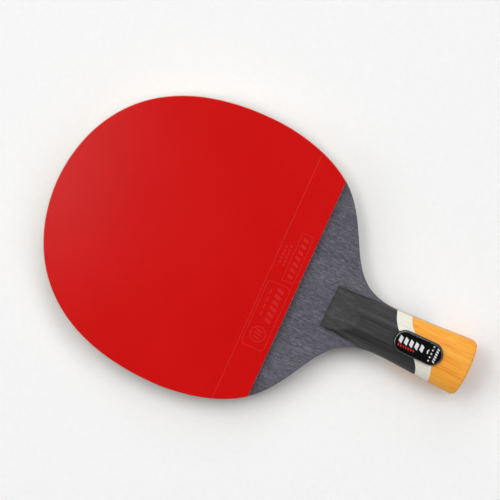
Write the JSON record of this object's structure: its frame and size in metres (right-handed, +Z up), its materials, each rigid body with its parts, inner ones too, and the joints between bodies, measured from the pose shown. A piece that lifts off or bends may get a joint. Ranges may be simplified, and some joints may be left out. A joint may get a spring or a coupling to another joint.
{
  "type": "table tennis paddle",
  "caption": "Pen-hold table tennis paddle with an egg-shaped laminated blade, red and black rubbers, and a short oval handle with a ramped front end.",
  "frame": {"origin": "on the table under the middle of the paddle's footprint, paddle lying flat with the red rubber up", "axes": "+Z up out of the red face, +Y from the butt of the handle to the tip of the head, +X to the right seen from above"},
  "size_m": [0.151, 0.235, 0.0238],
  "materials": {
    "core_wood": "sawn, unfinished edge",
    "inner_wood": "sawn, unfinished edge",
    "carbon": "woven carbon fibre in resin, only its edge shows",
    "face_veneer": "violet-grey stained veneer, fine wavy grain, satin",
    "sponge": "fine-celled foam, cut edge, cream",
    "red_rubber": "smooth, slightly glossy red",
    "black_rubber": "smooth, slightly glossy black",
    "dark_grip_wood": "dark grey stained wood, fine lengthwise grain, satin",
    "pale_grip_wood": "cream wood, satin",
    "orange_grip_wood": "orange stained wood, lengthwise grain, satin",
    "badge_foam": "double-sided adhesive pad",
    "badge_black": "black printed plate",
    "badge_white_print": "white ink on the badge, in the visual model only",
    "badge_red_print": "red ink on the badge, in the visual model only",
    "badge_clear": "clear cast resin, glossy"
  },
  "bodies": {
    "root": {"core_ply": "core_wood", "front_carbon_layer": "carbon", "back_carbon_layer": "carbon", "front_inner_veneer": "inner_wood", "back_inner_veneer": "inner_wood", "front_face_veneer": "face_veneer", "back_face_veneer": "face_veneer", "front_sponge": "sponge", "front_topsheet": "red_rubber", "back_sponge": "sponge", "back_topsheet": "black_rubber", "front_grip_dark_block": "dark_grip_wood", "front_grip_stripe": "pale_grip_wood", "front_grip_butt_block": "orange_grip_wood", "back_grip_dark_block": "dark_grip_wood", "back_grip_stripe": "pale_grip_wood", "back_grip_butt_block": "orange_grip_wood", "badge_tape": "badge_foam", "badge_plate": "badge_black", "badge_lens": "badge_clear"}
  },
  "joints": []
}
